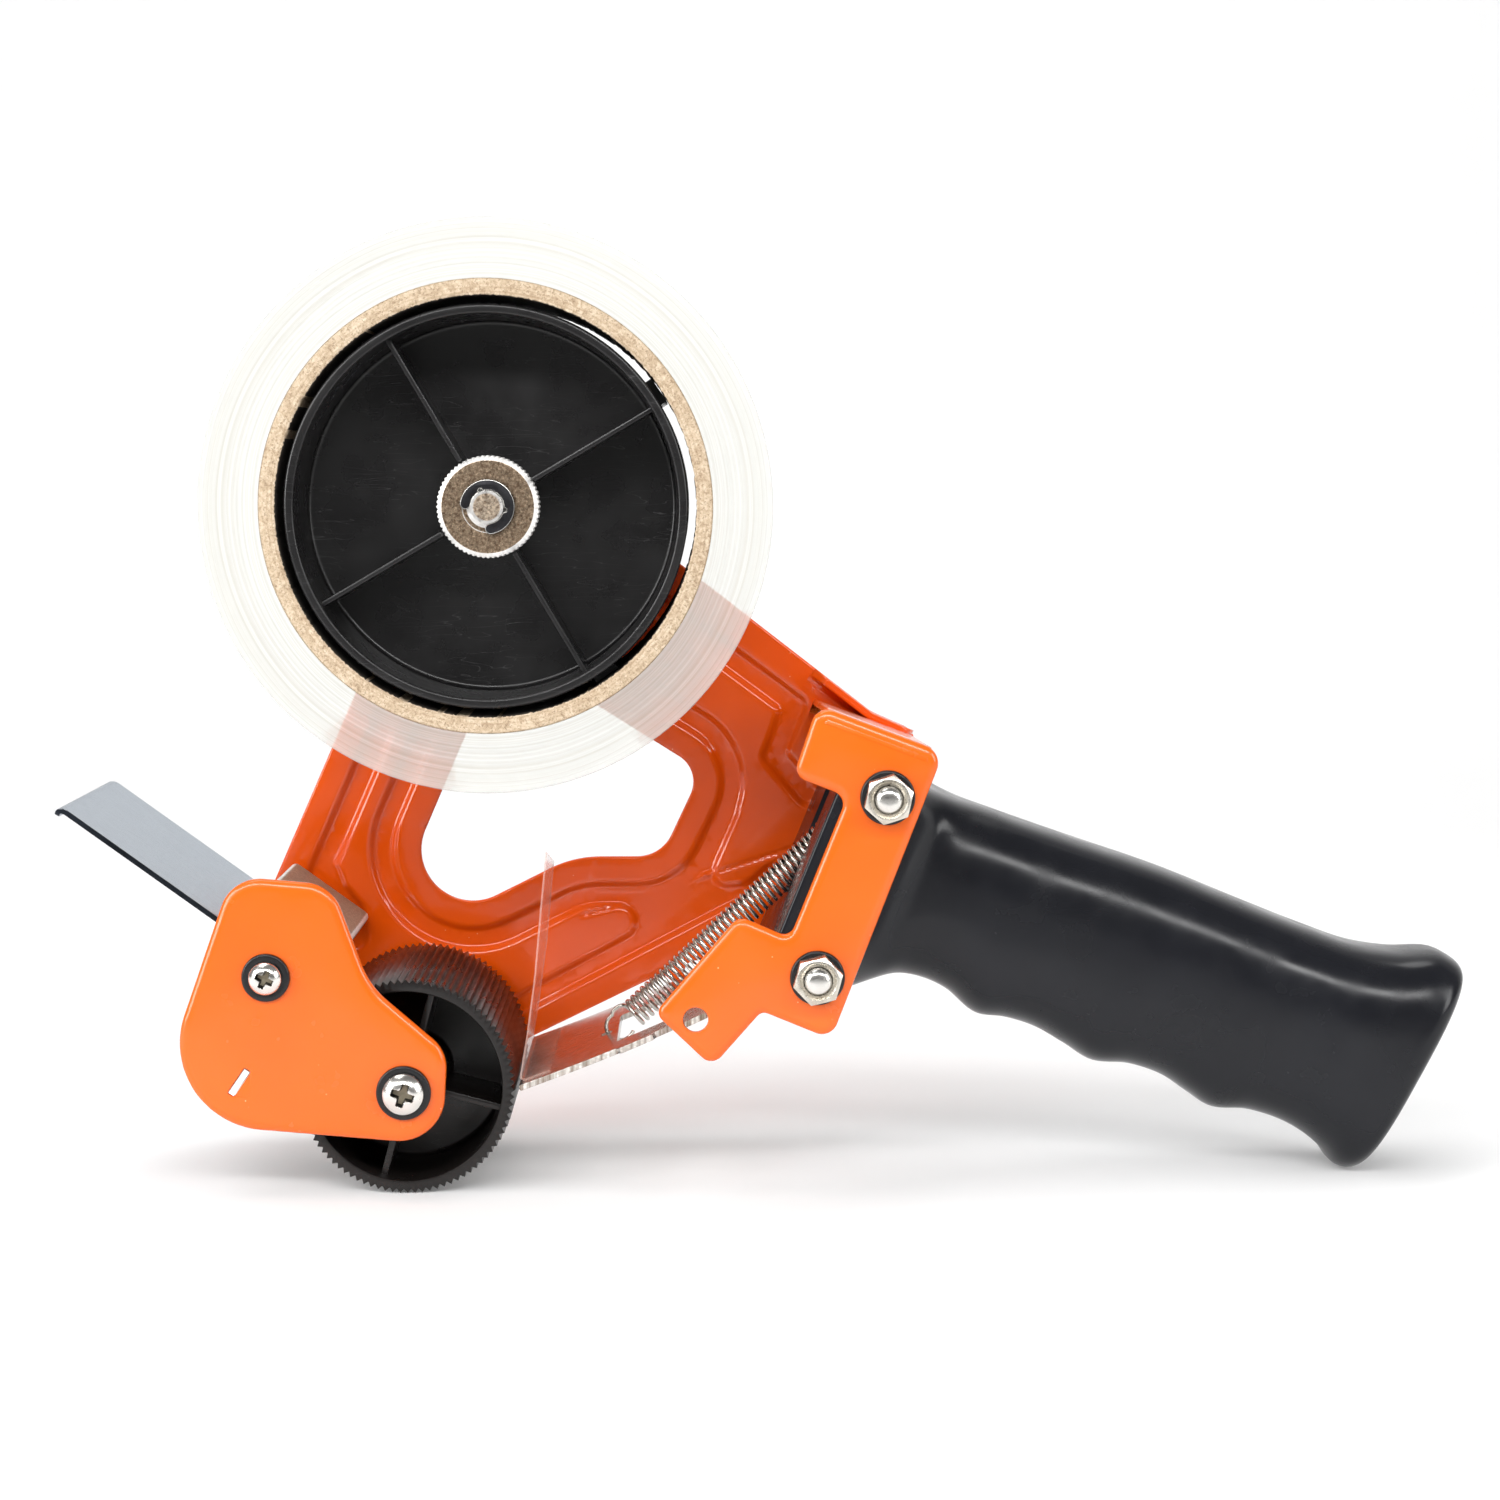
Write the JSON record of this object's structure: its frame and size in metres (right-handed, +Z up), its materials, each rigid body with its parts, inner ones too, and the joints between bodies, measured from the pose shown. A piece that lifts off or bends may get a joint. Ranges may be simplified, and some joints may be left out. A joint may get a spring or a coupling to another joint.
{
  "type": "tape gun dispenser",
  "caption": "Hand-held tape gun with a painted side frame, black handle, roll of clear tape on a braked hub, toothed roller, sprung guard and sprung tension plate.",
  "frame": {"origin": "middle of the overall length, mid-plane of the tape, on the surface that the gun stands on", "axes": "+X from the front flap to the handle, +Z up, -Y the open side where the roll is loaded"},
  "size_m": [0.2616, 0.0684, 0.1786],
  "materials": {
    "orange_paint_side": "deep orange gloss enamel on pressed steel",
    "orange_paint": "bright orange gloss enamel",
    "handle_plastic": "glossy black moulded plastic",
    "moulded_plastic": "semi-gloss black moulded plastic with fine scuffs",
    "roller_plastic": "black plastic with fine axial teeth",
    "zinc_steel": "zinc-plated steel",
    "bright_zinc": "bright nickel-plated steel",
    "black_washer": "black-oxide steel",
    "nickel_sheet": "nickel-plated steel sheet",
    "flap_steel": "polished spring steel with dark edges",
    "blade_steel": "ground blade steel",
    "spring_wire": "bright drawn spring wire",
    "brushed_strip": "steel strip brushed along its length",
    "clear_film": "clear flexible plastic film",
    "clear_tape": "milky translucent wound packing tape",
    "core_board": "brown spiral-wound board with fibrous ends"
  },
  "bodies": {
    "frame": {"side_frame": "orange_paint_side", "front_cover_plate": "orange_paint", "handle_bracket": "orange_paint", "handle_grip": "handle_plastic", "bolt_sleeves": "zinc_steel", "handle_bolts": "bright_zinc", "handle_nuts": "bright_zinc", "nut_washers": "black_washer", "bolt_head_washers": "bright_zinc", "spring_washers": "zinc_steel", "roller_axle": "zinc_steel", "roller_axle_screws": "bright_zinc", "roller_axle_washers": "black_washer", "roller_spacers": "moulded_plastic", "guard_pin": "zinc_steel", "guard_pin_screws": "bright_zinc", "guard_pin_washers": "black_washer", "guard_spacers": "moulded_plastic", "blade_holder": "nickel_sheet", "serrated_blade": "blade_steel", "blade_rivets": "zinc_steel", "hub_axle": "bright_zinc", "axle_collar": "zinc_steel", "brake_spring": "spring_wire", "friction_washer": "black_washer", "axle_clip": "black_washer", "tension_spring": "spring_wire", "guard_spring": "spring_wire"},
    "hub": {"tape_hub": "moulded_plastic"},
    "tape_roll": {"tape_core": "core_board", "tape_winding": "clear_tape"},
    "brake_nut": {"brake_nut": "bright_zinc"},
    "roller": {"roller": "roller_plastic"},
    "guard": {"guard_bracket": "nickel_sheet", "guard_flap": "flap_steel", "flap_rivets": "zinc_steel"},
    "tension_plate": {"tension_plate": "brushed_strip", "retaining_film": "clear_film"}
  },
  "joints": [
    {"name": "hub_spin", "type": "hinge", "parent": "frame", "child": "hub", "pos_m": [-0.0518, 0, 0.1265], "axis": [0, 1, 0], "continuous": true},
    {"name": "roll_load", "type": "slide", "parent": "hub", "child": "tape_roll", "axis": [0, -1, 0], "range_m": [0, 0.055]},
    {"name": "brake_nut_turn", "type": "hinge", "parent": "frame", "child": "brake_nut", "pos_m": [-0.0518, 0, 0.1265], "axis": [0, 1, 0], "range_deg": [-180, 180]},
    {"name": "roller_spin", "type": "hinge", "parent": "frame", "child": "roller", "pos_m": [-0.0672, 0, 0.02], "axis": [0, 1, 0], "continuous": true},
    {"name": "guard_hinge", "type": "hinge", "parent": "frame", "child": "guard", "pos_m": [-0.092, 0, 0.0413], "axis": [0, 1, 0], "range_deg": [0, 20], "stiffness_Nm_per_rad": 0.12, "springref_deg": -20.05, "deforming": ["guard_spring"]},
    {"name": "tension_hinge", "type": "hinge", "parent": "frame", "child": "tension_plate", "pos_m": [-0.0139, 0, 0.0332], "axis": [0, -1, 0], "range_deg": [0, 12], "stiffness_Nm_per_rad": 0.15, "springref_deg": -20.05, "deforming": ["tension_spring"]}
  ]
}
